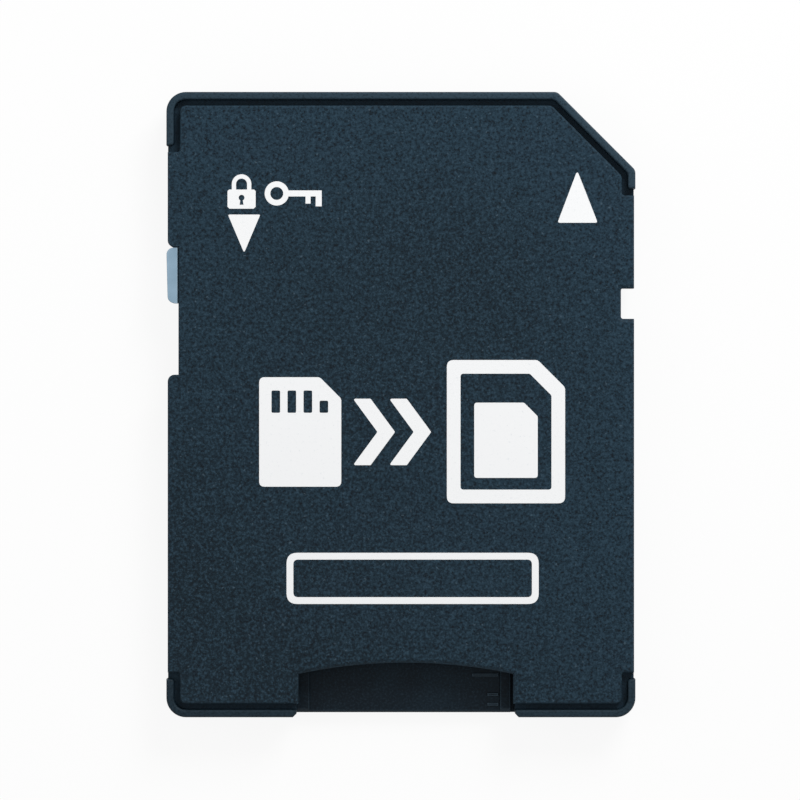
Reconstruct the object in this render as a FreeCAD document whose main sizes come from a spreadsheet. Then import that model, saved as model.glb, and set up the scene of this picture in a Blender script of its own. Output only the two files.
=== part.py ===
import FreeCAD, Part

import os
import re

import Sketcher

# Memory card adapter: a full-size card shell that takes a small memory card.
# It lies on its contact side. X runs across it, Y towards the leading (contact) end and
# Z up to the label side; the origin is the middle of the contact side. Millimetres.

DIMENSIONS = {
    # outline of the full-size card
    "card_width": 24.0,
    "card_length": 32.0,
    "card_thickness": 2.1,
    "corner_radius": 1.0,
    "chamfer_leg": 4.0,
    "chamfer_blend": 0.4,
    "rail_underside": 0.7,
    "rail_width": 0.75,
    "side_relief": 0.07,
    "lower_corner_radius": 0.5,
    "lead_bevel": 0.3,
    "edge_break": 0.06,
    "rim_round": 0.1,
    # label-side cover and the rim that frames it
    "cover_thickness": 0.5,
    "rim_width": 0.38,
    "rim_gap": 0.32,
    "leg_round": 0.15,
    "leg_gap": 0.35,
    "left_leg": 2.73,
    "right_leg": 4.95,
    "rear_leg": 1.95,
    # small card that the adapter takes, and its slot
    "small_card_width": 11.0,
    "small_card_length": 15.0,
    "small_card_thickness": 0.7,
    "nose_width": 9.7,
    "nose_length": 6.3,
    "slot_clearance": 0.1,
    "slot_offset": 0.25,
    "slot_lead": 0.2,
    "floor_relief_depth": 0.1,
    "floor_relief_length": 9.0,
    "ledge_left": 0.65,
    "ledge_right": 0.75,
    "gutter_width": 0.23,
    "gutter_depth": 0.35,
    "gutter_length": 4.0,
    "grip_rib_width": 0.14,
    "grip_rib_height": 0.07,
    "grip_rib_pitch": 0.5,
    "grip_rib_inset": 0.35,
    "grip_rib_side_gap": 0.1,
    "short_rib_length": 0.55,
    "long_rib_length": 1.35,
    # thumb recess at the mouth of the slot
    "mouth_setback": 0.18,
    "mouth_depth": 2.22,
    "mouth_arch": 0.58,
    "mouth_overlap": 0.1,
    "mouth_bevel": 0.12,
    # contact pads and their windows
    "corner_pad_margin": 0.175,
    "side_pad_margin": 0.15,
    "side_pad_pitch": 1.7,
    "side_pad_step": 2.425,
    "pad_gap": 0.4,
    "window_rib": 0.7,
    "window_length": 6.0,
    "side_pad_gap": 0.3,
    "side_window_rib": 0.6,
    "corner_pad_setback": 2.7,
    "corner_window_length": 7.4,
    "pad_tail": 0.2,
    "pad_shoulder": 0.4,
    # stamped contact strips
    "strip_thickness": 0.15,
    "finger_spacing": 1.1,
    "finger_width": 0.6,
    "neck_width": 0.8,
    "contact_reach": 1.8,
    "tip_length": 0.95,
    "tip_height": 0.72,
    "crest_height": 1.12,
    "crest_radius": 0.45,
    "sag_length": 1.7,
    "sag_height": 0.45,
    "sag_radius": 0.8,
    "root_radius": 1.0,
    "tab_setback": 1.05,
    "tab_length": 0.2,
    "tab_rise": 0.25,
    "bend_length": 0.3,
    "bend_radius": 0.15,
    "bridge_width": 0.24,
    "bridge_gap": 0.05,
    # beds and walls inside the base
    "side_wall": 0.65,
    "front_wall": 0.7,
    "corner_wall": 0.78,
    "bed_margin": 0.15,
    "bed_overrun": 0.05,
    "bed_left_back": 7.0,
    "bed_right_back": 8.4,
    "channel_width": 0.8,
    "channel_floor": 0.27,
    "channel_overrun": 0.3,
    "bay_margin": 0.5,
    # insulating bar that holds the strips
    "carrier_gap": 1.6,
    "carrier_depth": 1.6,
    "carrier_seat": 0.45,
    "carrier_fit": 0.03,
    "lug_width": 0.6,
    "lug_depth": 0.9,
    # hollows beside the slot
    "hollow_wall": 0.8,
    "hollow_length": 3.0,
    "hollow_rib_width": 0.6,
    "rear_block": 2.6,
    # locating pegs of the cover
    "peg_side_inset": 3.6,
    "peg_front_gap": 3.3,
    "peg_rear_inset": 1.6,
    "peg_diameter": 1.0,
    "peg_length": 0.55,
    "peg_fit": 0.03,
    # ribs under the cover
    "rib_clearance": 0.02,
    "backing_width": 1.0,
    "backing_inset": 0.6,
    "cross_rib_width": 0.4,
    "stop_rib_width": 0.9,
    "stop_rib_lift": 0.05,
    # write-protect slider and its notch
    "lock_notch_front": 7.95,
    "lock_notch_length": 6.52,
    "lock_notch_depth": 0.62,
    "notch_round": 0.35,
    "slider_length": 2.84,
    "slider_taper_width": 0.07,
    "slider_round": 0.35,
    "slider_fit": 0.05,
    "slider_end_gap": 0.02,
    "guide_lip": 0.33,
    "guide_depth": 0.55,
    "guide_height": 0.55,
    "flange_overhang": 0.36,
    # detent notch in the other side
    "side_notch_front": 10.05,
    "side_notch_length": 1.56,
    "side_notch_depth": 0.74,
    "side_notch_round": 0.12,
    "side_notch_bevel": 0.12,
}

HOLLOWS_PER_SIDE = 4

# raised ribs on the floor of the thumb recess: the row each is in and its length
GRIP_RIBS = [(0, "short_rib_length"), (1, "short_rib_length"), (3, "long_rib_length")]

# each strip of the fan, from the chamfered corner across: its name and the pad it serves
STRIPS = [
    ("contact_data_two", 9),
    ("contact_data_three", 1),
    ("contact_command", 2),
    ("contact_supply", 4),
    ("contact_clock", 5),
    ("contact_ground", 6),
    ("contact_data_zero", 7),
    ("contact_data_one", 8),
]
SHARED_GROUND_PAD = 3

# lines and levels that several pieces share
SIDE = "card_width / 2"
END = "card_length / 2"
DIAGONAL = "(sqrt(2) - 1)"
INNER = f"({SIDE} - rail_width - side_wall)"
CEILING = "(card_thickness - cover_thickness)"
SLOT_FLOOR = f"({CEILING} - small_card_thickness - slot_clearance)"
SLOT_LEFT = "(slot_offset - small_card_width / 2 - slot_clearance)"
SLOT_RIGHT = "(slot_offset + small_card_width / 2 + slot_clearance)"
NOSE_RIGHT = f"({SLOT_LEFT} + nose_width + 2 * slot_clearance)"
FINGER_CENTRE = f"({SLOT_LEFT} + slot_clearance + nose_width / 2)"
CARD_NOSE = f"(-{END} + mouth_setback + small_card_length)"
STOP = f"({CARD_NOSE} + slot_clearance)"
SHOULDER = f"({STOP} - nose_length)"
CREST = f"({CARD_NOSE} - contact_reach)"
TIP = f"({CREST} - tip_length)"
CARRIER_BACK = f"({STOP} + carrier_gap)"
CARRIER_FRONT = f"({CARRIER_BACK} + carrier_depth)"
FINGER_SPAN = f"({(len(STRIPS) - 1) / 2} * finger_spacing)"
BAY_LEFT = f"({FINGER_CENTRE} - {FINGER_SPAN} - bay_margin)"
BAY_RIGHT = f"({FINGER_CENTRE} + {FINGER_SPAN} + bay_margin)"
PAD_EIGHT = f"(-{INNER} + side_pad_margin + (side_pad_pitch - side_pad_gap) / 2)"
PAD_SIX = f"({PAD_EIGHT} + side_pad_pitch + side_pad_step)"
PAD_PITCH = f"(({INNER} - corner_pad_margin + pad_gap / 2 - {PAD_SIX}) / 6.5)"
PARTITION = f"({PAD_SIX} + 5.5 * {PAD_PITCH})"
TAB_END = f"({END} - tab_setback)"
TAB_START = f"({TAB_END} - tab_length)"
PAD_END = f"({TAB_START} - bend_length)"
BED_FRONT = f"({TAB_START} + bed_overrun)"
SHELF_FRONT = f"({END} - front_wall)"
RIM_IN = "rim_width"
COVER_IN = "(rim_width + rim_gap)"
LOCK_TOP = f"({END} - lock_notch_front)"
LOCK_BOTTOM = f"({LOCK_TOP} - lock_notch_length)"
LOCK_WALL = f"(-{SIDE} + lock_notch_depth)"
GUIDE_FLOOR = f"({CEILING} - guide_height)"
DETENT_TOP = f"({END} - side_notch_front)"
DETENT_WALL = f"({SIDE} - side_notch_depth)"

doc = FreeCAD.newDocument("MemoryCardAdapter")
sheet = doc.addObject("Spreadsheet::Sheet", "Dims")
for row, (name, size) in enumerate(DIMENSIONS.items(), 1):
    sheet.set(f"A{row}", name)
    sheet.set(f"B{row}", str(size))
    sheet.setAlias(f"B{row}", name)
doc.recompute()


def bound(text):
    """An expression over the sheet: each name of a size gets the sheet's own prefix."""
    return re.sub(r"[a-z][a-z_]*", lambda word: "Dims." + word[0] if word[0] in DIMENSIONS else word[0], text)


def number(text):
    """The present value of an expression over the sheet."""
    return float(sheet.evalExpression(bound(text)))


def hold_at(sketch, geometry, point, place):
    """Hold a point of the sketch at two expressions, measured from the sketch's origin."""
    for kind, text in zip(("DistanceX", "DistanceY"), place):
        index = sketch.addConstraint(Sketcher.Constraint(kind, -1, 1, geometry, point, number(text)))
        sketch.setExpression(f"Constraints[{index}]", bound(text))


def draw(sketch, corners, closed=True):
    """Draw straight runs from corner to corner. A corner is (x, y) or (x, y, radius), as
    expressions; one with a radius becomes an arc tangent to both of its runs."""
    places = [FreeCAD.Vector(number(corner[0]), number(corner[1]), 0) for corner in corners]
    count = len(corners)
    leave = list(places)
    reach = list(places)
    arcs = {}
    for i, corner in enumerate(corners):
        if len(corner) < 3:
            continue
        radius = number(corner[2])
        back = (places[i - 1] - places[i]).normalize()
        ahead = (places[(i + 1) % count] - places[i]).normalize()
        middle = (back + ahead).normalize()
        cosine = back * middle
        sine = (1 - cosine ** 2) ** 0.5
        reach[i] = places[i] + back * (radius * cosine / sine)
        leave[i] = places[i] + ahead * (radius * cosine / sine)
        arcs[i] = (places[i] + middle * (radius / sine), radius)
    runs = range(count if closed else count - 1)
    first = sketch.GeometryCount
    for i in runs:
        sketch.addGeometry(Part.LineSegment(leave[i], reach[(i + 1) % count]), False)
    for i in runs:
        if i in arcs:
            continue
        if i > 0 or closed:
            before = first + (i - 1) % count
            sketch.addConstraint(Sketcher.Constraint("Coincident", before, 2, first + i, 1))
        hold_at(sketch, first + i, 1, corners[i][:2])
    if not closed:
        hold_at(sketch, first + count - 2, 2, corners[-1][:2])
    for i, (centre, radius) in arcs.items():
        before = first + (i - 1) % count
        after = first + i
        start = reach[i] - centre
        end = leave[i] - centre
        turns_left = start.cross(end).z > 0
        if not turns_left:
            start, end = end, start
        circle = Part.Circle(centre, FreeCAD.Vector(0, 0, 1), radius)
        axis = FreeCAD.Vector(1, 0, 0)
        angles = [axis.getAngle(spoke) * (1 if spoke.y >= 0 else -1) for spoke in (start, end)]
        arc = sketch.addGeometry(Part.ArcOfCircle(circle, angles[0], angles[1]), False)
        sketch.addConstraint(Sketcher.Constraint("Tangent", before, 2, arc, 1 if turns_left else 2))
        sketch.addConstraint(Sketcher.Constraint("Tangent", arc, 2 if turns_left else 1, after, 1))
        index = sketch.addConstraint(Sketcher.Constraint("Radius", arc, radius))
        sketch.setExpression(f"Constraints[{index}]", bound(corners[i][2]))
        knee = sketch.addGeometry(Part.Point(places[i]), True)
        sketch.addConstraint(Sketcher.Constraint("PointOnObject", knee, 1, before))
        sketch.addConstraint(Sketcher.Constraint("PointOnObject", knee, 1, after))
        hold_at(sketch, knee, 1, corners[i][:2])


def rectangle(left, right, back, front, radius=None):
    """Corners of a rectangle in the plane of the sketch."""
    rounding = () if radius is None else (radius,)
    return [(x, y) + rounding for x, y in ((left, back), (right, back), (right, front), (left, front))]


def new_body(name):
    body = doc.addObject("PartDesign::Body", name)
    body.Label = name
    return body


def sketch_on(body, name, height, profiles, role="XY_Plane"):
    """A sketch of closed profiles on one of the body's own planes, raised by height."""
    plane = next(feature for feature in body.Origin.OriginFeatures if feature.Role == role)
    sketch = body.newObject("Sketcher::SketchObject", name)
    sketch.AttachmentSupport = (plane, [""])
    sketch.MapMode = "FlatFace"
    sketch.setExpression("AttachmentOffset.Base.z", bound(height))
    for corners in profiles:
        draw(sketch, corners)
    return sketch


def pad(body, name, bottom, top, profiles):
    """Add material between two levels."""
    sketch = sketch_on(body, name + "Sketch", bottom, profiles)
    feature = body.newObject("PartDesign::Pad", name)
    feature.Profile = sketch
    feature.setExpression("Length", bound(f"({top}) - ({bottom})"))
    doc.recompute()
    return feature


def cut_down(body, name, sketch, depth):
    """Take material away below a sketch, and make sure that some went."""
    before = body.Shape.Volume
    feature = body.newObject("PartDesign::Pocket", name)
    feature.Profile = sketch
    feature.setExpression("Length", bound(depth))
    doc.recompute()
    if feature.Shape.Volume >= before:
        raise RuntimeError(name + " cut nothing")
    return feature


def pocket(body, name, bottom, top, profiles):
    """Take material away between two levels."""
    sketch = sketch_on(body, name + "Sketch", top, profiles)
    return cut_down(body, name, sketch, f"({top}) - ({bottom})")


def side_cut(body, name, left, right, profiles):
    """Take material away across the card, from a profile drawn in (Y, Z)."""
    sketch = sketch_on(body, name + "Sketch", right, profiles, "YZ_Plane")
    return cut_down(body, name, sketch, f"({right}) - ({left})")


def repeat(body, name, feature, axis, pitch, count):
    """Copies of a feature in a row along an axis of its own sketch."""
    pattern = body.newObject("PartDesign::LinearPattern", name)
    pattern.Originals = [feature]
    pattern.Direction = (feature.Profile[0], [axis])
    pattern.setExpression("Length", bound(f"{pitch} * {count - 1}"))
    pattern.Occurrences = count
    body.Tip = pattern
    doc.recompute()
    return pattern


def soften_edges(body, name, kind, size, wanted):
    """Chamfer or fillet the edges of the body that a test picks out."""
    base = body.Tip
    edges = [f"Edge{i}" for i, edge in enumerate(base.Shape.Edges, 1) if wanted(edge)]
    feature = body.newObject(kind, name)
    feature.Base = (base, edges)
    feature.setExpression("Radius" if kind == "PartDesign::Fillet" else "Size", bound(size))
    doc.recompute()
    return feature


def lies_at(edge, level):
    """Whether an edge lies flat at a level."""
    box = edge.BoundBox
    return abs(box.ZMin - level) < 1e-6 and abs(box.ZMax - level) < 1e-6


def framed_outline(inset, side, gap, radius):
    """The card's outline moved in by inset at both ends, with its middle stretch out to side.
    The middle stretch starts gap away from the end of each leg of the rim."""
    edge = f"{SIDE} - {inset}"
    end = f"{END} - {inset}"
    corner = f"corner_radius - {inset}"
    rear = f"-{END} + rear_leg + {gap}"
    right = f"{END} - right_leg - {gap}"
    left = f"{END} - left_leg - {gap}"
    return [
        (f"-({side})", rear),
        (f"-({edge})", rear, radius),
        (f"-({edge})", f"-({end})", corner),
        (edge, f"-({end})", corner),
        (edge, rear, radius),
        (side, rear),
        (side, right),
        (edge, right, radius),
        (edge, f"{END} - chamfer_leg - {DIAGONAL} * {inset}", "chamfer_blend"),
        (f"{SIDE} - chamfer_leg - {DIAGONAL} * {inset}", end, "chamfer_blend"),
        (f"-({edge})", end, corner),
        (f"-({edge})", left, radius),
        (f"-({side})", left),
    ]


def pad_place(number_on_card):
    """Middle of a contact pad across the card, half its width and half its window's width.
    Pads 9 and 1 to 6 share the width evenly; 7 and 8 are narrower and closer together."""
    if number_on_card in (7, 8):
        middle = f"({PAD_EIGHT} + {8 - number_on_card} * side_pad_pitch)"
        return middle, "(side_pad_pitch - side_pad_gap) / 2", "(side_pad_pitch - side_window_rib) / 2"
    steps = 6 if number_on_card == 9 else 6 - number_on_card
    middle = f"({PAD_SIX} + {steps} * {PAD_PITCH})"
    return middle, f"({PAD_PITCH} - pad_gap) / 2", f"({PAD_PITCH} - window_rib) / 2"


def pad_setback(number_on_card):
    """How far a pad's front end lies behind the others: only the corner pad's does."""
    return "corner_pad_setback" if number_on_card == 9 else "0"


def window_back(number_on_card):
    """Rear edge of a pad's window."""
    length = "corner_window_length" if number_on_card == 9 else "window_length"
    return f"({END} - {length})"


def notch_cuts():
    """The lock notch on the left and the detent notch on the right."""
    beyond = "card_width"
    lock = rectangle(f"-{beyond}", LOCK_WALL, LOCK_BOTTOM, LOCK_TOP)
    detent = [
        (DETENT_WALL, f"{DETENT_TOP} - side_notch_length", "side_notch_round"),
        (beyond, f"{DETENT_TOP} - side_notch_length"),
        (beyond, DETENT_TOP),
        (DETENT_WALL, DETENT_TOP, "side_notch_round"),
    ]
    return [lock, detent]


def round_notch_mouths(body, name):
    """Round the outer upright edges of the lock notch."""
    outer = number(f"{SIDE} - side_relief")
    levels = [number(text) for text in (LOCK_TOP, LOCK_BOTTOM)]

    def at_mouth(edge):
        box = edge.BoundBox
        upright = box.ZLength > 1e-3 and box.XLength < 1e-6 and box.YLength < 1e-6
        return upright and abs(box.XMin + outer) < 1e-6 and min(abs(box.YMin - y) for y in levels) < 1e-6

    return soften_edges(body, name, "PartDesign::Fillet", "notch_round", at_mouth)


def peg_places():
    """The four places of the cover's pegs, two near the strips and two behind the hollows."""
    front = f"{STOP} + peg_front_gap"
    rear = f"-{END} + peg_rear_inset"
    return [(f"{sign}({SIDE} - peg_side_inset)", y) for sign in ("-", "") for y in (front, rear)]


def circles_on(body, name, height, places, diameter):
    """A sketch of equal circles."""
    sketch = sketch_on(body, name, height, [])
    for x, y in places:
        centre = FreeCAD.Vector(number(x), number(y), 0)
        circle = Part.Circle(centre, FreeCAD.Vector(0, 0, 1), number(diameter) / 2)
        index = sketch.addGeometry(circle, False)
        size = sketch.addConstraint(Sketcher.Constraint("Diameter", index, number(diameter)))
        sketch.setExpression(f"Constraints[{size}]", bound(diameter))
        hold_at(sketch, index, 3, (x, y))
    return sketch


def make_base_shell():
    """Contact-side moulding: guide rails, rim, card slot, contact windows and strip bed."""
    body = new_body("base_shell")
    top = "card_thickness"
    side = f"{SIDE} - rail_width"
    pad(body, "GuideRails", "rail_underside", top, [[
        (f"-{SIDE}", f"-{END}", "corner_radius"),
        (SIDE, f"-{END}", "corner_radius"),
        (SIDE, f"{END} - chamfer_leg", "chamfer_blend"),
        (f"{SIDE} - chamfer_leg", END, "chamfer_blend"),
        (f"-{SIDE}", END, "corner_radius"),
    ]])
    pad(body, "LowerStep", "0", "rail_underside", [[
        (f"-({side})", f"-{END}", "lower_corner_radius"),
        (side, f"-{END}", "lower_corner_radius"),
        (side, f"{END} - chamfer_leg + rail_width"),
        (f"{SIDE} - chamfer_leg", END, "chamfer_blend"),
        (f"-({side})", END, "lower_corner_radius"),
    ]])

    # the rails and the cover above them are drawn in a little between the legs of the rim
    relief = f"{SIDE} - side_relief"
    rear = f"-{END} + rear_leg"
    pocket(body, "SideRelief", "rail_underside", top, [
        rectangle("-card_width", f"-({relief})", rear, f"{END} - left_leg"),
        rectangle(relief, "card_width", rear, f"{END} - right_leg"),
    ])
    pocket(body, "CoverSeat", CEILING, top, [framed_outline(RIM_IN, "card_width", "0", "leg_round")])
    pocket(body, "Notches", "rail_underside", top, notch_cuts())

    # slot for the small card, keyed by the shoulder behind its narrower nose
    pocket(body, "CardSlot", SLOT_FLOOR, top, [[
        (SLOT_LEFT, "-card_length"),
        (SLOT_RIGHT, "-card_length"),
        (SLOT_RIGHT, f"{SHOULDER} - ({SLOT_RIGHT} - {NOSE_RIGHT})"),
        (NOSE_RIGHT, SHOULDER),
        (NOSE_RIGHT, STOP),
        (SLOT_LEFT, STOP),
    ]])
    relief_floor = f"({SLOT_FLOOR} - floor_relief_depth)"
    relief_right = f"({SLOT_RIGHT} - ledge_right)"
    pocket(body, "FloorRelief", relief_floor, SLOT_FLOOR, [
        rectangle(f"{SLOT_LEFT} + ledge_left", relief_right, "-card_length", f"-{END} + floor_relief_length"),
    ])
    pocket(body, "Gutter", f"{SLOT_FLOOR} - gutter_depth", SLOT_FLOOR, [
        rectangle(f"{SLOT_RIGHT} - gutter_width", SLOT_RIGHT, "-card_length", f"-{END} + gutter_length"),
    ])
    mouth = f"(-{END} + mouth_setback)"
    rib_right = f"({relief_right} - grip_rib_side_gap)"
    rib_back = f"({mouth} + grip_rib_inset)"
    pad(body, "GripRibs", relief_floor, f"{relief_floor} + grip_rib_height", [
        rectangle(
            f"{rib_right} - {length}",
            rib_right,
            f"{rib_back} + {row} * grip_rib_pitch",
            f"{rib_back} + {row} * grip_rib_pitch + grip_rib_width",
        )
        for row, length in GRIP_RIBS
    ])
    pocket(body, "MouthSetback", "0", top, [[
        (SLOT_LEFT, mouth),
        (f"{SLOT_LEFT} - mouth_setback", f"-{END}"),
        (f"{SLOT_LEFT} - mouth_setback", "-card_length"),
        (f"{SLOT_RIGHT} + mouth_setback", "-card_length"),
        (f"{SLOT_RIGHT} + mouth_setback", f"-{END}"),
        (SLOT_RIGHT, mouth),
    ]])
    side_cut(body, "SlotLeadIn", SLOT_LEFT, SLOT_RIGHT, [[
        (mouth, f"{SLOT_FLOOR} - slot_lead"),
        (f"{mouth} + slot_lead", SLOT_FLOOR),
        (mouth, SLOT_FLOOR),
    ]])

    # bay and channels in which the spring fingers bend down when a card pushes in
    pocket(body, "FingerBay", SLOT_FLOOR, CEILING, [rectangle(BAY_LEFT, BAY_RIGHT, STOP, CARRIER_BACK)])
    last_finger = f"{FINGER_CENTRE} - {FINGER_SPAN}"
    channel = pocket(body, "FingerChannel", "channel_floor", SLOT_FLOOR, [
        rectangle(
            f"{last_finger} - channel_width / 2",
            f"{last_finger} + channel_width / 2",
            f"{TIP} - channel_overrun",
            CARRIER_BACK,
        ),
    ])
    repeat(body, "FingerChannels", channel, "H_Axis", "finger_spacing", len(STRIPS))
    lug = f"({CARRIER_BACK} + carrier_depth / 2)"
    pocket(body, "CarrierSeat", "carrier_seat", CEILING, [
        rectangle(BAY_LEFT, BAY_RIGHT, CARRIER_BACK, CARRIER_FRONT),
    ])
    pocket(body, "LugSeats", "carrier_seat", CEILING, [
        rectangle(
            f"{BAY_LEFT} - lug_width",
            f"{BAY_RIGHT} + lug_width",
            f"{lug} - lug_depth / 2",
            f"{lug} + lug_depth / 2",
        ),
    ])

    # bed on which the strips fan out from the fingers to the pads
    pocket(body, "StripBed", "rail_underside", CEILING, [[
        (BAY_LEFT, CARRIER_FRONT),
        (BAY_RIGHT, CARRIER_FRONT),
        (INNER, f"{END} - bed_right_back"),
        (INNER, f"{BED_FRONT} - corner_pad_setback"),
        (PARTITION, f"{BED_FRONT} - corner_pad_setback"),
        (PARTITION, BED_FRONT),
        (f"-{INNER}", BED_FRONT),
        (f"-{INNER}", f"{END} - bed_left_back"),
    ]])
    shelf = "(rail_underside + tab_rise)"
    chamfer_sum = f"({SIDE} + {END} - chamfer_leg - sqrt(2) * corner_wall)"
    pocket(body, "TabShelf", shelf, CEILING, [[
        (f"-{INNER}", BED_FRONT),
        (f"{chamfer_sum} - {BED_FRONT}", BED_FRONT),
        (f"{chamfer_sum} - {SHELF_FRONT}", SHELF_FRONT),
        (f"-{INNER}", SHELF_FRONT),
    ]])
    pocket(body, "CornerTabShelf", shelf, CEILING, [
        rectangle(
            PARTITION,
            INNER,
            f"{BED_FRONT} - corner_pad_setback",
            f"{TAB_END} - corner_pad_setback + bridge_gap",
        ),
    ])
    windows = []
    for pad_number in range(1, 10):
        middle, _, half = pad_place(pad_number)
        back = window_back(pad_number)
        windows.append(rectangle(f"{middle} - {half}", f"{middle} + {half}", back, "card_length"))
    pocket(body, "ContactWindows", "0", "rail_underside", windows)
    side_cut(body, "LeadBevel", f"-{SIDE}", SIDE, [[
        (f"{END} - lead_bevel", "0"),
        (END, "0"),
        (END, "lead_bevel"),
    ]])

    # guide of the write-protect slider, behind a lip at the foot of its notch
    lip_back = f"({LOCK_WALL} + guide_lip)"
    overrun = "(flange_overhang + slider_fit)"
    pocket(body, "SliderSlit", GUIDE_FLOOR, CEILING, [
        rectangle(LOCK_WALL, lip_back, LOCK_BOTTOM, LOCK_TOP),
    ])
    pocket(body, "SliderGuide", GUIDE_FLOOR, CEILING, [
        rectangle(
            lip_back,
            f"{lip_back} + guide_depth",
            f"{LOCK_BOTTOM} - {overrun}",
            f"{LOCK_TOP} + {overrun}",
        ),
    ])

    # hollows beside the slot, with ribs left between them
    cell_back = f"(-{END} + rear_block)"
    cell_front = f"{cell_back} + hollow_length"
    cell = pocket(body, "Hollow", "rail_underside", CEILING, [
        rectangle(f"-{INNER}", f"{SLOT_LEFT} - hollow_wall", cell_back, cell_front),
        rectangle(f"{SLOT_RIGHT} + hollow_wall", INNER, cell_back, cell_front),
    ])
    repeat(body, "Hollows", cell, "V_Axis", "(hollow_length + hollow_rib_width)", HOLLOWS_PER_SIDE)
    sockets = circles_on(body, "PegSocketSketch", CEILING, peg_places(), "(peg_diameter + 2 * peg_fit)")
    cut_down(body, "PegSockets", sockets, "peg_length + peg_fit")

    round_notch_mouths(body, "NotchMouths")
    rim_top = number(top)
    soften_edges(body, "RimEdges", "PartDesign::Fillet", "rim_round", lambda edge: lies_at(edge, rim_top))
    return body


def make_top_cover():
    """Label-side moulding: a plate let into the rim, with ears out to both sides."""
    body = new_body("top_cover")
    top = "card_thickness"
    ear = f"{SIDE} - side_relief"
    pad(body, "Plate", CEILING, top, [framed_outline(COVER_IN, ear, "leg_gap", "leg_round")])
    pocket(body, "Notches", CEILING, top, notch_cuts())

    # thumb recess: square sides and a shallow arch
    left = f"({SLOT_LEFT} + mouth_overlap)"
    right = f"({SLOT_RIGHT} - mouth_overlap)"
    spring = f"(-{END} + mouth_depth)"
    half = f"(({right} - {left}) / 2)"
    radius = f"({half} ^ 2 + mouth_arch ^ 2) / (2 * mouth_arch)"
    sketch = sketch_on(body, "ThumbRecessSketch", top, [])
    corners = [(left, spring), (left, "-card_length"), (right, "-card_length"), (right, spring)]
    draw(sketch, corners, closed=False)
    places = [FreeCAD.Vector(number(x), number(y), 0) for x, y in (corners[0], corners[3])]
    peak = FreeCAD.Vector(number("slot_offset"), number(f"{spring} + mouth_arch"), 0)
    arch = sketch.addGeometry(Part.Arc(places[1], peak, places[0]), False)
    sketch.addConstraint(Sketcher.Constraint("Coincident", arch, 1, 2, 2))
    sketch.addConstraint(Sketcher.Constraint("Coincident", arch, 2, 0, 1))
    size = sketch.addConstraint(Sketcher.Constraint("Radius", arch, number(radius)))
    sketch.setExpression(f"Constraints[{size}]", bound(radius))
    cut_down(body, "ThumbRecess", sketch, "cover_thickness")

    # ribs that back each pad, hold the fan of strips down and stop the small card
    strip_top = "(rail_underside + strip_thickness + rib_clearance)"
    backers = []
    for pad_number in range(1, 10):
        middle = pad_place(pad_number)[0]
        front = f"{PAD_END} - backing_inset - {pad_setback(pad_number)}"
        backers.append(rectangle(
            f"{middle} - backing_width / 2",
            f"{middle} + backing_width / 2",
            window_back(pad_number),
            front,
        ))
    pad(body, "PadBackers", strip_top, CEILING, backers)
    cross_front = f"({window_back(1)} - pad_tail - pad_shoulder)"
    last_pad = pad_place(8)[0]
    pad(body, "FanRib", strip_top, CEILING, [
        rectangle(last_pad, f"{PARTITION} - bed_margin", f"{cross_front} - cross_rib_width", cross_front),
    ])
    pad(body, "CardStopRib", f"{SLOT_FLOOR} + stop_rib_lift", CEILING, [
        rectangle(
            f"{BAY_LEFT} + slot_clearance",
            f"{BAY_RIGHT} - slot_clearance",
            STOP,
            f"{STOP} + stop_rib_width",
        ),
    ])
    pegs = circles_on(body, "PegSketch", f"{CEILING} - peg_length", peg_places(), "peg_diameter")
    feature = body.newObject("PartDesign::Pad", "Pegs")
    feature.Profile = pegs
    feature.setExpression("Length", bound("peg_length"))
    doc.recompute()

    round_notch_mouths(body, "NotchMouths")
    face_top = number(top)
    arch_top = number(f"{spring} + mouth_arch")
    mouth = [number(left), number(right)]

    def frames_mouth(edge):
        box = edge.BoundBox
        inside = box.XMin > mouth[0] - 1e-6 and box.XMax < mouth[1] + 1e-6
        return lies_at(edge, face_top) and inside and box.YMax < arch_top + 1e-6

    detent = [number(text) for text in (DETENT_WALL, f"{DETENT_TOP} - side_notch_length", DETENT_TOP)]

    def frames_detent(edge):
        box = edge.BoundBox
        inside = box.YMin > detent[1] - 1e-6 and box.YMax < detent[2] + 1e-6
        return lies_at(edge, face_top) and inside and box.XMin > detent[0] - 1e-6

    def frames_face(edge):
        return lies_at(edge, face_top) and not frames_mouth(edge) and not frames_detent(edge)

    soften_edges(body, "MouthBevel", "PartDesign::Chamfer", "mouth_bevel", frames_mouth)
    soften_edges(body, "DetentBevel", "PartDesign::Chamfer", "side_notch_bevel", frames_detent)
    soften_edges(body, "FaceEdges", "PartDesign::Chamfer", "edge_break", frames_face)
    return body


def make_lock_slider():
    """Write-protect slider: a block in the notch on a tongue that the guide traps."""
    body = new_body("lock_slider")
    front = f"({LOCK_TOP} - slider_end_gap)"
    back = f"({front} - slider_length)"
    inner = f"({LOCK_WALL} - slider_fit)"
    pad(body, "Block", "rail_underside + slider_fit", "card_thickness - slider_fit", [[
        (inner, back),
        (inner, front),
        (f"-{SIDE}", front, "slider_round"),
        (f"-{SIDE} + slider_taper_width", back, "slider_round"),
    ]])
    lip_back = f"({LOCK_WALL} + guide_lip)"
    low = f"({GUIDE_FLOOR} + slider_fit)"
    high = f"({CEILING} - slider_fit)"
    pad(body, "Neck", low, high, [rectangle(inner, f"{lip_back} + slider_fit", back, front)])
    pad(body, "Flange", low, high, [
        rectangle(
            f"{lip_back} + slider_fit",
            f"{lip_back} + guide_depth - slider_fit",
            f"{back} - flange_overhang",
            f"{front} + flange_overhang",
        ),
    ])
    return body


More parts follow.
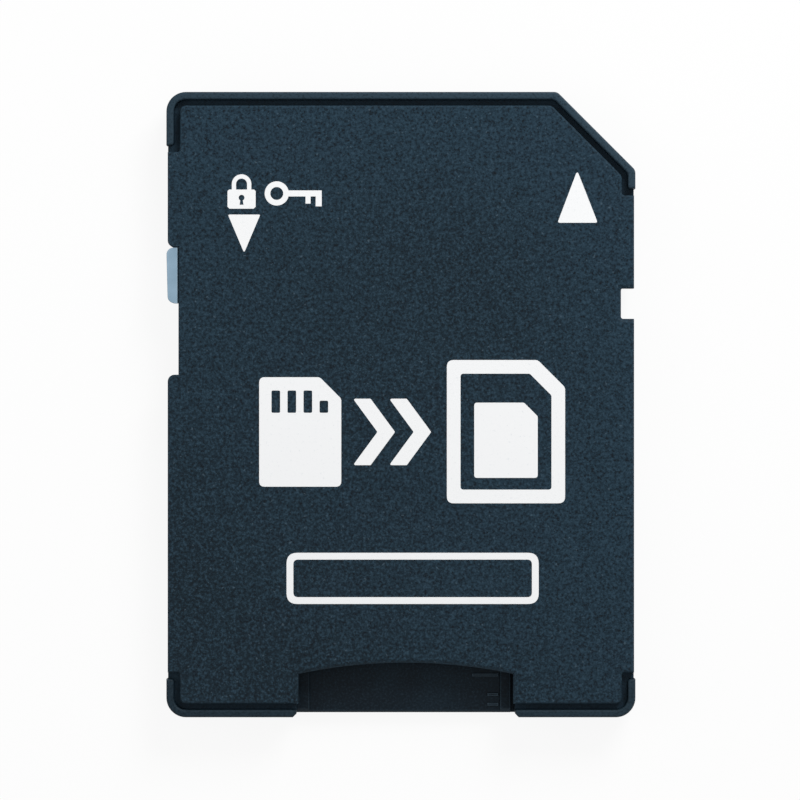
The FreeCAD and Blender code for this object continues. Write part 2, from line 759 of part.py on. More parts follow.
def make_contact_carrier():
    """Insulating bar moulded round the strips where the fingers start."""
    body = new_body("contact_carrier")
    lug = f"({CARRIER_BACK} + carrier_depth / 2)"
    left = f"{BAY_LEFT} + carrier_fit"
    right = f"{BAY_RIGHT} - carrier_fit"
    back = f"{CARRIER_BACK} + carrier_fit"
    front = f"{CARRIER_FRONT} - carrier_fit"
    pad(body, "Bar", "carrier_seat", CEILING, [rectangle(left, right, back, front)])
    pad(body, "Lugs", "carrier_seat", CEILING, [
        rectangle(
            f"{left} - lug_width",
            f"{right} + lug_width",
            f"{lug} - lug_depth / 2 + carrier_fit",
            f"{lug} + lug_depth / 2 - carrier_fit",
        ),
    ])
    first = f"{FINGER_CENTRE} - {FINGER_SPAN}"
    slot = pocket(body, "StripSlot", "rail_underside", "rail_underside + strip_thickness", [
        rectangle(f"{first} - finger_width / 2", f"{first} + finger_width / 2", back, front),
    ])
    repeat(body, "StripSlots", slot, "H_Axis", "finger_spacing", len(STRIPS))
    return body


def folded_sheet(name, setback):
    """The strips' stock: one sheet folded across its whole width, from the tips of the
    fingers up over the crest, down through the sag, flat along the bed and up to the tabs."""
    path = doc.addObject("Sketcher::SketchObject", name + "Path")
    path.Placement = FreeCAD.Placement(
        FreeCAD.Vector(-number(SIDE), 0, 0),
        FreeCAD.Rotation(FreeCAD.Vector(1, 1, 1), 120),
    )
    path.setExpression("Placement.Base.x", bound(f"-{SIDE}"))
    flat = "rail_underside"
    draw(path, [
        (TIP, "tip_height"),
        (CREST, "crest_height", "crest_radius"),
        (f"{CREST} + sag_length", "sag_height", "sag_radius"),
        (CARRIER_BACK, flat, "root_radius"),
        (f"{PAD_END} - {setback}", flat, "bend_radius"),
        (f"{TAB_START} - {setback}", f"{flat} + tab_rise", "bend_radius"),
        (SHELF_FRONT, f"{flat} + tab_rise"),
    ], closed=False)
    section = doc.addObject("Part::Offset2D", name + "Section")
    section.Source = path
    section.Mode = "Skin"
    section.Join = "Intersection"
    section.Fill = True
    section.setExpression("Value", bound("-strip_thickness"))
    blank = doc.addObject("Part::Extrusion", name)
    blank.Base = section
    blank.DirMode = "Custom"
    blank.Dir = FreeCAD.Vector(1, 0, 0)
    blank.setExpression("LengthFwd", bound("card_width"))
    blank.Solid = True
    doc.recompute()
    return blank


def strip_outline(index, pad_number):
    """Plan of one strip: a finger, a neck that fans out and a pad; for ground, also the
    bridge in front of the pads between and the second pad that it joins."""
    finger = f"({FINGER_CENTRE} + {FINGER_SPAN} - {index} * finger_spacing)"
    middle, half, _ = pad_place(pad_number)
    wide = f"{window_back(pad_number)} - pad_tail"
    fan_end = f"{wide} - pad_shoulder"
    tab_end = f"{TAB_END} - {pad_setback(pad_number)}"
    up = [
        (f"{finger} - finger_width / 2", TIP),
        (f"{finger} - finger_width / 2", CARRIER_FRONT),
        (f"{middle} - neck_width / 2", fan_end),
        (f"{middle} - {half}", wide),
    ]
    down = [
        (f"{middle} + {half}", wide),
        (f"{middle} + neck_width / 2", fan_end),
        (f"{finger} + finger_width / 2", CARRIER_FRONT),
        (f"{finger} + finger_width / 2", TIP),
    ]
    if pad_number != 6:
        return up + [(f"{middle} - {half}", tab_end), (f"{middle} + {half}", tab_end)] + down
    other = pad_place(SHARED_GROUND_PAD)[0]
    bar_back = f"{TAB_END} + bridge_gap"
    bar_front = f"{bar_back} + bridge_width"
    bridge = [
        (f"{middle} - {half}", bar_front),
        (f"{other} + {half}", bar_front),
        (f"{other} + {half}", wide),
        (f"{other} - {half}", wide),
        (f"{other} - {half}", bar_back),
        (f"{middle} + {half}", bar_back),
    ]
    return up + bridge + down


def make_strip(index, name, pad_number, stock):
    """Stamp one strip out of the folded sheet."""
    plan = doc.addObject("Sketcher::SketchObject", name + "_plan")
    draw(plan, strip_outline(index, pad_number))
    cutter = doc.addObject("Part::Extrusion", name + "_cutter")
    cutter.Base = plan
    cutter.DirMode = "Normal"
    cutter.setExpression("LengthFwd", bound("card_thickness"))
    cutter.Solid = True
    strip = doc.addObject("Part::Common", name)
    strip.Label = name
    strip.Base = stock
    strip.Tool = cutter
    doc.recompute()
    return strip


def make_strips():
    stock = folded_sheet("StripStock", "0")
    corner_stock = folded_sheet("CornerStripStock", "corner_pad_setback")
    return [
        make_strip(index, name, pad_number, corner_stock if pad_number == 9 else stock)
        for index, (name, pad_number) in enumerate(STRIPS)
    ]


def write_parts(pieces):
    """Check the whole document and every piece, then write one file for each piece."""
    doc.recompute()
    for item in doc.Objects:
        if "Invalid" in item.State or "Error" in item.State:
            raise RuntimeError(f"{item.Label} did not build: {item.State}")
    for piece in pieces:
        if piece.Shape.isNull() or not piece.Shape.isValid() or len(piece.Shape.Solids) != 1:
            raise RuntimeError(f"{piece.Label} is not one sound solid")
    os.makedirs("parts", exist_ok=True)
    for piece in pieces:
        piece.Shape.exportStep(f"parts/{piece.Label}.step")
        print(piece.Label, round(piece.Shape.Volume, 3), piece.Shape.BoundBox)


write_parts([
    make_base_shell(),
    make_top_cover(),
    make_lock_slider(),
    make_contact_carrier(),
    *make_strips(),
])
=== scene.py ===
import math

import bpy
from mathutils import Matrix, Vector
from mathutils.geometry import tessellate_polygon


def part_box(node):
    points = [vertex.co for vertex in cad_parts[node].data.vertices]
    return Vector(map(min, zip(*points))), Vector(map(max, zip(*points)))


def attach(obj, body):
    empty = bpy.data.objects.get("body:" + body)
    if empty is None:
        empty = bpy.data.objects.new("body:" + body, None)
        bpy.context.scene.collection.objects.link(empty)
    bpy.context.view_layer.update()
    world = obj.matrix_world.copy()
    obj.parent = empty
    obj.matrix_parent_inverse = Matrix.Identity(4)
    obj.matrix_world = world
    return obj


# Looks of a memory card adapter: spark-eroded plastics, gold contacts and white print.
# Blender's scene is in metres. Sizes here are written in millimetres and turned by MM.
# x runs to the right, y to the card's front and z up through the label side. The origin is the
# middle of the contact side.

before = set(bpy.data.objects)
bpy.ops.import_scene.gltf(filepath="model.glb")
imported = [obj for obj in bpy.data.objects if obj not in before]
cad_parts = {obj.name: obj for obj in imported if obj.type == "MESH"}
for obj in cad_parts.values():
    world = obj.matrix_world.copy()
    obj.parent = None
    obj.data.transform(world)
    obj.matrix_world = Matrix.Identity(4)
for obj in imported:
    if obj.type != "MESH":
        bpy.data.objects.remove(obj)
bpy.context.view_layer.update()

MM = 0.001
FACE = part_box("top_cover")[1].z
UP = (0.0, 0.0, 1.0)

scene = bpy.context.scene
scene.view_settings.view_transform = "Standard"


# Colours

def linear(red, green, blue):
    """A display colour of 0 to 255 as the shader's linear colour."""
    def channel(value):
        share = value / 255
        return share / 12.92 if share <= 0.04045 else ((share + 0.055) / 1.055) ** 2.4
    return (channel(red), channel(green), channel(blue), 1.0)


WHITE = (1.0, 1.0, 1.0, 1.0)
PAPER = (0.92, 0.92, 0.92, 1.0)

# the cover's painted light runs from its shaded tone to its lit tone
COVER_SHADED_TONE = linear(18, 33, 42)
COVER_LIT_TONE = linear(28, 48, 61)
COVER_CLOUD = linear(30, 50, 63)
# the cover's grain: painted shade in its pits, painted highlight on its tops, painted glints
COVER_PIT_SHADE = linear(4, 13, 21)
COVER_LIT_PEAK = linear(46, 68, 83)
COVER_GLINT = linear(84, 104, 118)
# pale edges: partly wear, partly painted highlight
COVER_WORN_LIT_EDGE = linear(56, 76, 90)

SHELL_DARK = linear(26, 43, 55)
SHELL_PALE = linear(30, 49, 62)
# painted shade in the hollows, in a darker and a paler cloud
HOLLOW_SHADE_DARK = linear(10, 21, 29)
HOLLOW_SHADE_PALE = linear(16, 29, 38)
# the rim's painted light runs from its shaded tone to its lit tone
RIM_SHADED_TONE = linear(26, 40, 49)
RIM_LIT_TONE = linear(45, 63, 75)
# the base's grain: painted highlight on its tops, painted shade in its pits
SHELL_LIT_PEAK = linear(52, 68, 80)
SHELL_PIT_SHADE = linear(4, 10, 16)
# painted shade on the walls
SHELL_WALL_SHADE = linear(6, 14, 21)
# pale edges: wear, and painted highlight on the edges in the hollows
SHELL_WORN_LIT_EDGE = linear(70, 88, 101)

SLIDER_DARK = linear(129, 156, 175)
SLIDER_PALE = linear(143, 170, 190)
SLIDER_RUBBED = linear(176, 196, 210)

CARRIER_DARK = linear(24, 25, 27)
CARRIER_PALE = linear(44, 45, 48)

GOLD_BRIGHT = linear(226, 190, 118)
GOLD_TARNISHED = linear(206, 164, 92)
GOLD_WIPED = linear(240, 214, 156)

INK_FULL = linear(248, 249, 250)
INK_THIN = linear(214, 220, 225)


# Shader parts

MIX_FIRST, MIX_SECOND, MIX_RESULT = 6, 7, 2  # a Mix node's colour sockets
EDGE_SAMPLES = 8
EDGE_NONE, EDGE_FULL = 0.95, 0.45            # occlusion away from an edge, and on it
BEVEL_SAMPLES = 6


class Finish:
    """One procedural material: its shader, and the node chains that feed it.

    It starts from a plain roughness, which each finish below then varies by a noise.
    """

    def __init__(self, name, roughness, specular, metallic=0.0):
        self.material = bpy.data.materials.new(name)
        self.material.use_nodes = True
        self.tree = self.material.node_tree
        self.shader = self.tree.nodes["Principled BSDF"]
        self.shader.inputs["Roughness"].default_value = roughness
        self.shader.inputs["Specular IOR Level"].default_value = specular
        self.shader.inputs["Metallic"].default_value = metallic
        here = self.node("ShaderNodeTexCoord")
        self.normal = here.outputs["Normal"]
        scale = self.node("ShaderNodeVectorMath", "SCALE")
        scale.inputs["Scale"].default_value = 1 / MM
        self.join(here.outputs["Object"], scale.inputs[0])
        self.place = scale.outputs["Vector"]

    def node(self, kind, operation=None):
        """A new node, set to its operation where that kind has one."""
        made = self.tree.nodes.new(kind)
        if operation:
            made.operation = operation
        return made

    def join(self, value, socket):
        """Link an output to a socket, or write a number or colour on it."""
        if isinstance(value, bpy.types.NodeSocket):
            self.tree.links.new(value, socket)
        else:
            socket.default_value = value

    def vector(self, operation, other):
        """An operation on the place in millimetres and another vector."""
        node = self.node("ShaderNodeVectorMath", operation)
        self.join(self.place, node.inputs[0])
        node.inputs[1].default_value = other
        return node

    def stretched(self, x, y, z):
        """The place in millimetres, scaled apart along each axis."""
        return self.vector("MULTIPLY", (x, y, z)).outputs["Vector"]

    def measured(self, operation, other):
        """Millimetres along a direction (DOT_PRODUCT) or away from a point (DISTANCE)."""
        return self.vector(operation, other).outputs["Value"]

    def along(self, direction, low, high):
        """The place along a direction, spread from 0 at low to 1 at high millimetres."""
        return self.spread(self.measured("DOT_PRODUCT", direction), low, high)

    def noise(self, scale, detail=2.0, rough=0.5, place=None):
        """Soft noise between 0 and 1, with about scale spots to a millimetre."""
        node = self.node("ShaderNodeTexNoise")
        node.inputs["Scale"].default_value = scale
        node.inputs["Detail"].default_value = detail
        node.inputs["Roughness"].default_value = rough
        self.join(place or self.place, node.inputs["Vector"])
        return node.outputs["Fac"]

    def spread(self, value, low, high, out_low=0.0, out_high=1.0):
        """A value between low and high, spread over another range and clamped there."""
        node = self.node("ShaderNodeMapRange")
        self.join(value, node.inputs["Value"])
        node.inputs["From Min"].default_value = low
        node.inputs["From Max"].default_value = high
        node.inputs["To Min"].default_value = out_low
        node.inputs["To Max"].default_value = out_high
        return node.outputs["Result"]

    def maths(self, operation, first, second=0.0):
        node = self.node("ShaderNodeMath", operation)
        self.join(first, node.inputs[0])
        self.join(second, node.inputs[1])
        return node.outputs["Value"]

    def blend(self, share, first, second):
        """A colour between two colours: the first at share 0, the second at share 1."""
        node = self.node("ShaderNodeMix")
        node.data_type = "RGBA"
        self.join(share, node.inputs["Factor"])
        self.join(first, node.inputs[MIX_FIRST])
        self.join(second, node.inputs[MIX_SECOND])
        return node.outputs[MIX_RESULT]

    def layered(self, base, *layers):
        """A colour with others laid over it in turn, each a pair of its share and itself."""
        for share, colour in layers:
            base = self.blend(share, base, colour)
        return base

    def outer_edges(self, reach):
        """1 on an outer edge, 0 further than reach millimetres from it."""
        node = self.node("ShaderNodeAmbientOcclusion")
        node.inside = True
        node.only_local = True
        node.samples = EDGE_SAMPLES
        node.inputs["Distance"].default_value = reach * MM
        return self.spread(node.outputs["AO"], EDGE_NONE, EDGE_FULL)

    def upward(self):
        """How far a face looks up: 1 on a floor, 0 on a wall, -1 on an underside."""
        parts = self.node("ShaderNodeSeparateXYZ")
        self.join(self.normal, parts.inputs["Vector"])
        return parts.outputs["Z"]

    def colour(self, value):
        self.join(value, self.shader.inputs["Base Color"])

    def roughness(self, value):
        self.join(value, self.shader.inputs["Roughness"])

    def relief(self, height, depth, strength, edge_radius):
        """The normal: softened edges, and a height with a depth in millimetres."""
        soft = self.node("ShaderNodeBevel")
        soft.samples = BEVEL_SAMPLES
        soft.inputs["Radius"].default_value = edge_radius * MM
        bump = self.node("ShaderNodeBump")
        bump.inputs["Strength"].default_value = strength
        bump.inputs["Distance"].default_value = depth * MM
        self.join(height, bump.inputs["Height"])
        self.join(soft.outputs["Normal"], bump.inputs["Normal"])
        self.join(bump.outputs["Normal"], self.shader.inputs["Normal"])


# Painted light: the plastic's colour is painted paler towards the top and right, and darker as
# painted shade elsewhere. On the cover the paleness grows along COVER_LIGHT_SLOPE, and with the
# distance from COVER_DIM_POINT, a point of the face: the distance adds COVER_LIFT at COVER_REACH
# and beyond. At a sum of COVER_LEAST the cover is at its darkest, at COVER_MOST at its palest.
# On the rim it grows along RIM_LIGHT_SLOPE alone.
COVER_LIGHT_SLOPE = (0.65, 0.76, 0.0)
COVER_DIM_POINT = (4.0, 7.0, 2.1)
COVER_REACH = 15.0
COVER_LIFT = 18.0
COVER_LEAST, COVER_MOST = 3.6, 21.7
RIM_LIGHT_SLOPE = (0.45, 0.75, 0.0)
RIM_LEAST, RIM_MOST = -15.0, 15.0

COARSE_SHARE = 0.62                 # the coarse noise's part of the cover's grain
RIM_LOW, RIM_HIGH = 1.7, 2.04       # heights between which the base turns into its rim
HOLLOW_LOW, HOLLOW_HIGH = 1.0, 1.4  # a floor below these heights lies in a hollow


def grained_plastic():
    """The cover: blue-black plastic off a spark-eroded mould, with painted light and shade.

    Its colour is painted paler towards the top and right; the grain's pits get painted shade,
    its tops painted highlights and glints; its edges are paler, partly from wear and partly as
    painted highlight.
    """
    made = Finish("cover_grained", roughness=0.6, specular=0.12)
    coarse = made.noise(6.8, rough=0.55)
    fine = made.noise(13.0, detail=1.5)
    coarse_part = made.maths("MULTIPLY", coarse, COARSE_SHARE)
    fine_part = made.maths("MULTIPLY", fine, 1 - COARSE_SHARE)
    grain = made.maths("ADD", coarse_part, fine_part)
    # painted light: the colour is painted paler towards the top and right, and away from one
    # point
    slope = made.measured("DOT_PRODUCT", COVER_LIGHT_SLOPE)
    away = made.measured("DISTANCE", COVER_DIM_POINT)
    lift = made.spread(away, 0.0, COVER_REACH, 0.0, COVER_LIFT)
    painted_light = made.spread(made.maths("ADD", slope, lift), COVER_LEAST, COVER_MOST)
    clouds = made.spread(made.noise(0.25), 0.35, 0.65, 0.0, 0.12)
    # painted shade in the grain's pits, painted highlight on its tops, and painted glints
    shaded_grain_pits = made.spread(grain, 0.34, 0.5, 1.0, 0.0)
    lit_grain_tops = made.spread(grain, 0.5, 0.66, 0.0, 0.8)
    grain_glints = made.spread(made.noise(5.2, detail=1.0), 0.69, 0.77, 0.0, 0.4)
    # the grain fades on the walls, which leave the mould smoother
    flat = made.spread(made.maths("ABSOLUTE", made.upward()), 0.4, 0.9, 0.25, 1.0)
    # pale edges: partly wear in patches, partly painted highlight
    patches = made.spread(made.noise(1.1, detail=3.0), 0.38, 0.62, 0.25, 0.85)
    pale_edges = made.maths("MULTIPLY", made.outer_edges(0.1), patches)
    plain = made.layered(COVER_SHADED_TONE, (painted_light, COVER_LIT_TONE), (clouds, COVER_CLOUD))
    grained = made.layered(plain, (shaded_grain_pits, COVER_PIT_SHADE), (lit_grain_tops, COVER_LIT_PEAK), (grain_glints, COVER_GLINT))
    made.colour(made.layered(plain, (flat, grained), (pale_edges, COVER_WORN_LIT_EDGE)))
    height = made.maths("MULTIPLY", grain, flat)
    made.relief(height, depth=0.016, strength=0.55, edge_radius=0.07)
    made.roughness(made.spread(fine, 0.3, 0.7, 0.52, 0.68))
    return made.material


def shell_plastic():
    """The base: the same plastic, smoother, with painted light and shade.

    Its rim is painted paler towards the top and right; its hollows, its walls and the grain's
    pits get painted shade, the grain's tops painted highlights; its edges are paler from wear
    and, in the hollows, as painted highlight.
    """
    made = Finish("shell_smooth", roughness=0.5, specular=0.1)
    grain = made.noise(8.5, detail=2.5, rough=0.6)
    cloud = made.spread(made.noise(0.5), 0.35, 0.65)
    upward = made.upward()
    floors = made.spread(upward, 0.5, 0.9)
    # floors in a hollow, which get painted shade
    hollow = made.maths("MULTIPLY", floors, made.along(UP, HOLLOW_HIGH, HOLLOW_LOW))
    rim = made.along(UP, RIM_LOW, RIM_HIGH)
    # painted light: the rim is painted paler towards the top and right
    painted_light = made.along(RIM_LIGHT_SLOPE, RIM_LEAST, RIM_MOST)
    # painted highlight on the grain's tops, painted shade in its pits
    lit_grain_tops = made.spread(grain, 0.5, 0.72, 0.0, 0.3)
    shaded_grain_pits = made.spread(grain, 0.34, 0.48, 0.5, 0.0)
    # painted shade on the walls
    wall_shade = made.spread(made.maths("ABSOLUTE", upward), 0.95, 0.4, 0.0, 0.3)
    patches = made.spread(made.noise(1.4, detail=3.0), 0.45, 0.65, 0.0, 0.3)
    # pale edges: wear in patches, and painted highlight on the edges in the hollows
    wear_and_highlight = made.maths("MAXIMUM", patches, made.spread(hollow, 0.0, 1.0, 0.0, 0.8))
    pale_edges = made.maths("MULTIPLY", made.outer_edges(0.08), wear_and_highlight)
    made.colour(made.layered(
        made.blend(cloud, SHELL_DARK, SHELL_PALE),
        # painted shade in the hollows
        (hollow, made.blend(cloud, HOLLOW_SHADE_DARK, HOLLOW_SHADE_PALE)),
        # painted light on the rim, paler towards the top and right
        (rim, made.blend(painted_light, RIM_SHADED_TONE, RIM_LIT_TONE)),
        # painted highlight on the grain's tops, painted shade in its pits
        (lit_grain_tops, SHELL_LIT_PEAK),
        (shaded_grain_pits, SHELL_PIT_SHADE),
        # painted shade on the walls
        (wall_shade, SHELL_WALL_SHADE),
        # pale edges: wear, and painted highlight in the hollows
        (pale_edges, SHELL_WORN_LIT_EDGE),
    ))
    made.relief(grain, depth=0.006, strength=0.5, edge_radius=0.08)
    made.roughness(made.spread(grain, 0.3, 0.7, 0.42, 0.58))
    return made.material


def slider_plastic():
    """The slider: satin pale blue plastic, rubbed paler along its edges."""
    made = Finish("slider_satin", roughness=0.42, specular=0.25)
    cloud = made.spread(made.noise(0.9), 0.3, 0.7)
    patches = made.spread(made.noise(3.0, detail=3.0), 0.4, 0.65, 0.0, 0.4)
    pale_edges = made.maths("MULTIPLY", made.outer_edges(0.14), patches)
    made.colour(made.layered(SLIDER_DARK, (cloud, SLIDER_PALE), (pale_edges, SLIDER_RUBBED)))
    fine = made.noise(9.0)
    made.relief(fine, depth=0.006, strength=0.4, edge_radius=0.06)
    made.roughness(made.spread(fine, 0.3, 0.7, 0.36, 0.5))
    return made.material


def carrier_plastic():
    """The contact carrier: black plastic with glass fibres that lie along the bar."""
    made = Finish("carrier_black", roughness=0.5, specular=0.35)
    fibres = made.noise(4.0, detail=3.0, place=made.stretched(1.0, 6.0, 6.0))
    bared = made.spread(fibres, 0.35, 0.7)
    made.colour(made.blend(bared, CARRIER_DARK, CARRIER_PALE))
    made.relief(fibres, depth=0.008, strength=0.5, edge_radius=0.03)
    made.roughness(made.spread(fibres, 0.3, 0.7, 0.42, 0.6))
    return made.material


def contact_gold():
    """Gold-plated spring strip, brushed along the card and wiped where a host's springs rub."""
    made = Finish("contact_gold", roughness=0.28, specular=0.5, metallic=1.0)
    brushed = made.noise(5.0, detail=3.0, rough=0.6, place=made.stretched(6.0, 0.35, 6.0))
    streaks = made.noise(2.2, place=made.stretched(4.0, 0.25, 4.0))
    tarnish = made.spread(made.noise(0.8, detail=3.0), 0.35, 0.7)
    wiped = made.spread(streaks, 0.58, 0.72, 0.0, 0.5)
    made.colour(made.layered(GOLD_BRIGHT, (tarnish, GOLD_TARNISHED), (wiped, GOLD_WIPED)))
    made.relief(brushed, depth=0.003, strength=0.35, edge_radius=0.03)
    made.roughness(made.spread(brushed, 0.3, 0.7, 0.28, 0.42))
    return made.material


def print_ink():
    """White pad-printed ink, a little thin where the grain stands through."""
    made = Finish("print_ink", roughness=0.62, specular=0.3)
    grain = made.noise(7.0, detail=2.5, rough=0.6)
    thin = made.spread(grain, 0.62, 0.8, 0.0, 0.55)
    made.colour(made.blend(thin, INK_FULL, INK_THIN))
    made.relief(grain, depth=0.006, strength=0.5, edge_radius=0.01)
    made.roughness(made.spread(grain, 0.3, 0.7, 0.55, 0.7))
    return made.material


GOLD = contact_gold()
INK = print_ink()

FINISHES = {
    "top_cover": grained_plastic(),
    "base_shell": shell_plastic(),
    "lock_slider": slider_plastic(),
    "contact_carrier": carrier_plastic(),
}
for name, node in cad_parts.items():
    for material_slot in node.material_slots:
        material_slot.material = FINISHES.get(name, GOLD)


# Print: flat outlines in millimetres on the label side, turned into thin plates of ink.
# A box is its left, right, low and high side.

INK_SINK = 0.004 * MM   # how far the print reaches into the cover's face
INK_STAND = 0.008 * MM  # how far it stands out of it
CORNER_STEPS = 6
SIDE_SHARE = 0.49       # the most of a side that one rounded corner takes


def rounded(corners, radius):
    """A closed outline with a curve of about the radius in place of each corner."""
    points = []
    for i, corner in enumerate(corners):
        here = Vector(corner)
        back = Vector(corners[i - 1]) - here
        ahead = Vector(corners[(i + 1) % len(corners)]) - here
        half = back.angle(ahead) / 2
        reach = min(radius / math.tan(half), SIDE_SHARE * back.length, SIDE_SHARE * ahead.length)
        start = here + back.normalized() * reach
        end = here + ahead.normalized() * reach
        for step in range(CORNER_STEPS + 1):
            t = step / CORNER_STEPS
            points.append(tuple(start * (1 - t) ** 2 + here * 2 * t * (1 - t) + end * t ** 2))
    return points


def inset(box, stroke):
    """The box inside a frame of that stroke."""
    left, right, low, high = box
    return (left + stroke, right - stroke, low + stroke, high - stroke)


def rounded_box(box, radius):
    left, right, low, high = box
    return rounded([(left, low), (right, low), (right, high), (left, high)], radius)


def chamfered_card(box, chamfer, radius):
    """A card's rounded outline, with its top right corner cut off."""
    left, right, low, high = box
    corners = [(left, low), (right, low), (right, high - chamfer), (right - chamfer, high)]
    return rounded(corners + [(left, high)], radius)


def chevron(x, y, reach, rise, stroke, radius):
    """A broad arrow head that points to the right."""
    front = [(x + stroke, y - rise), (x + stroke + reach, y), (x + stroke, y + rise)]
    return rounded([(x, y - rise)] + front + [(x, y + rise), (x + reach, y)], radius)


def arc(x, y, radius, start, end, steps=24):
    """Points of an arc, from a start to an end angle in degrees."""
    turns = [math.radians(start + (end - start) * i / steps) for i in range(steps + 1)]
    return [(x + radius * math.cos(a), y + radius * math.sin(a)) for a in turns]


def ink_plate(name, areas):
    """One piece of print. An area is an outline, or a list of an outline and its holes."""
    points = []
    faces = []
    for area in areas:
        loops = area if isinstance(area[0], list) else [area]
        flat = [[Vector((x * MM, y * MM, 0.0)) for x, y in loop] for loop in loops]
        start = len(points)
        count = sum(len(loop) for loop in flat)
        for level in (FACE - INK_SINK, FACE + INK_STAND):
            points += [(p.x, p.y, level) for loop in flat for p in loop]
        for a, b, c in tessellate_polygon(flat):
            faces.append((start + a, start + b, start + c))
            faces.append((start + count + c, start + count + b, start + count + a))
        offset = start
        for loop in flat:
            size = len(loop)
            for i in range(size):
                a, b = offset + i, offset + (i + 1) % size
                faces.append((a, b, b + count, a + count))
            offset += size
    mesh = bpy.data.meshes.new(name)
    mesh.from_pydata(points, [], faces)
    mesh.validate()
    mesh.materials.append(INK)
    made = bpy.data.objects.new(name, mesh)
    scene.collection.objects.link(made)
    bpy.context.view_layer.objects.active = made
    made.select_set(True)
    bpy.ops.object.mode_set(mode="EDIT")
    bpy.ops.mesh.select_all(action="SELECT")
    bpy.ops.mesh.normals_make_consistent(inside=False)
    bpy.ops.object.mode_set(mode="OBJECT")
    made.select_set(False)
    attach(made, "shell")


# the two plain triangles: which way the slider locks, and which way the card goes in
LOCK_ARROW = [(-8.85, 9.72), (-8.02, 7.76), (-7.19, 9.72)]
INSERT_ARROW = [(8.01, 9.30), (10.07, 9.30), (9.02, 11.98)]
ink_plate("print_lock_arrow", [rounded(LOCK_ARROW, radius=0.06)])
ink_plate("print_insert_arrow", [rounded(INSERT_ARROW, radius=0.09)])

# a padlock: its body and shackle, the window inside the shackle, and the keyhole
LOCK_X = -8.15
LOCK_LEFT, LOCK_RIGHT = LOCK_X - 0.72, LOCK_X + 0.72
LOCK_LOW, LOCK_HIGH = 10.02, 11.0
LOW_CUT, HIGH_CUT = 0.1, 0.08
SHACKLE_Y = 11.28
SHACKLE_OUT, SHACKLE_IN = 0.5, 0.28
KEYHOLE_Y = 10.58
KEYHOLE_RADIUS = 0.15
KEYHOLE_LOW = 10.22
KEYHOLE_HALF = 0.1
padlock = [
    (LOCK_LEFT, LOCK_LOW + LOW_CUT), (LOCK_LEFT + LOW_CUT, LOCK_LOW),
    (LOCK_RIGHT - LOW_CUT, LOCK_LOW), (LOCK_RIGHT, LOCK_LOW + LOW_CUT),
    (LOCK_RIGHT, LOCK_HIGH - HIGH_CUT), (LOCK_RIGHT - HIGH_CUT, LOCK_HIGH),
    (LOCK_X + SHACKLE_OUT, LOCK_HIGH),
    *arc(LOCK_X, SHACKLE_Y, SHACKLE_OUT, 0, 180),
    (LOCK_X - SHACKLE_OUT, LOCK_HIGH),
    (LOCK_LEFT + HIGH_CUT, LOCK_HIGH), (LOCK_LEFT, LOCK_HIGH - HIGH_CUT),
]
shackle_window = [
    (LOCK_X + SHACKLE_IN, LOCK_HIGH),
    *arc(LOCK_X, SHACKLE_Y, SHACKLE_IN, 0, 180),
    (LOCK_X - SHACKLE_IN, LOCK_HIGH),
]
keyhole = [
    *arc(LOCK_X, KEYHOLE_Y, KEYHOLE_RADIUS, -65, 245),
    (LOCK_X - KEYHOLE_HALF, KEYHOLE_LOW), (LOCK_X + KEYHOLE_HALF, KEYHOLE_LOW),
]
ink_plate("print_padlock", [[padlock, shackle_window, keyhole]])

# a key beside it: a round bow with an eye, and a shaft with two teeth
KEY_X, KEY_Y = -6.35, 10.8
BOW_RADIUS = 0.62
EYE_RADIUS = 0.33
SHAFT_HALF = 0.155
SHAFT_ANGLE = math.degrees(math.asin(SHAFT_HALF / BOW_RADIUS))
BOW_STEPS, EYE_STEPS = 48, 32
SHAFT_LOW = KEY_Y - SHAFT_HALF
TEETH = ((-4.88, -4.62, KEY_Y - 0.52), (-4.36, -4.05, KEY_Y - 0.66))  # left, right and tip
key = arc(KEY_X, KEY_Y, BOW_RADIUS, SHAFT_ANGLE, 360 - SHAFT_ANGLE, BOW_STEPS)
for left, right, tip in TEETH:
    key += [(left, SHAFT_LOW), (left, tip), (right, tip), (right, SHAFT_LOW)]
key[-1] = (right, KEY_Y + SHAFT_HALF)  # the last tooth ends the shaft
eye = arc(KEY_X, KEY_Y, EYE_RADIUS, 0, 360, EYE_STEPS)[:-1]
ink_plate("print_key", [[key, eye]])

# a small card with four contact bars left open
SMALL_CARD = (-7.25, -3.05, -4.2, 1.4)
BAR_WIDTH = 0.44
BAR_LOW = -0.42
BARS = [(-6.62, 0.72), (-5.8, 0.72), (-4.98, 0.72), (-4.16, 0.2)]  # left and high side of each
small_card = chamfered_card(SMALL_CARD, chamfer=1.1, radius=0.28)
bars = [rounded_box((left, left + BAR_WIDTH, BAR_LOW, high), radius=0.08) for left, high in BARS]
ink_plate("print_small_card", [[small_card] + bars])

# two chevrons, and the large card that takes the small one in
CHEVRONS_X = (-2.45, -0.6)
CHEVRONS_Y = -1.4
LARGE_CARD = (2.35, 8.4, -5.05, 2.28)
LARGE_STROKE = 0.7
HELD_CARD = (3.75, 7.0, -3.75, 0.1)
ink_plate("print_chevrons", [
    chevron(x, CHEVRONS_Y, reach=1.25, rise=1.7, stroke=0.9, radius=0.08) for x in CHEVRONS_X
])
ink_plate("print_large_card", [
    [
        chamfered_card(LARGE_CARD, chamfer=1.4, radius=0.35),
        chamfered_card(inset(LARGE_CARD, LARGE_STROKE), chamfer=1.11, radius=0.16),
    ],
    chamfered_card(HELD_CARD, chamfer=0.7, radius=0.16),
])

# a framed field to write in
FIELD = (-5.85, 7.05, -10.2, -7.58)
FIELD_STROKE = 0.35
ink_plate("print_field", [[
    rounded_box(FIELD, radius=0.55),
    rounded_box(inset(FIELD, FIELD_STROKE), radius=0.24),
]])


# World and floor

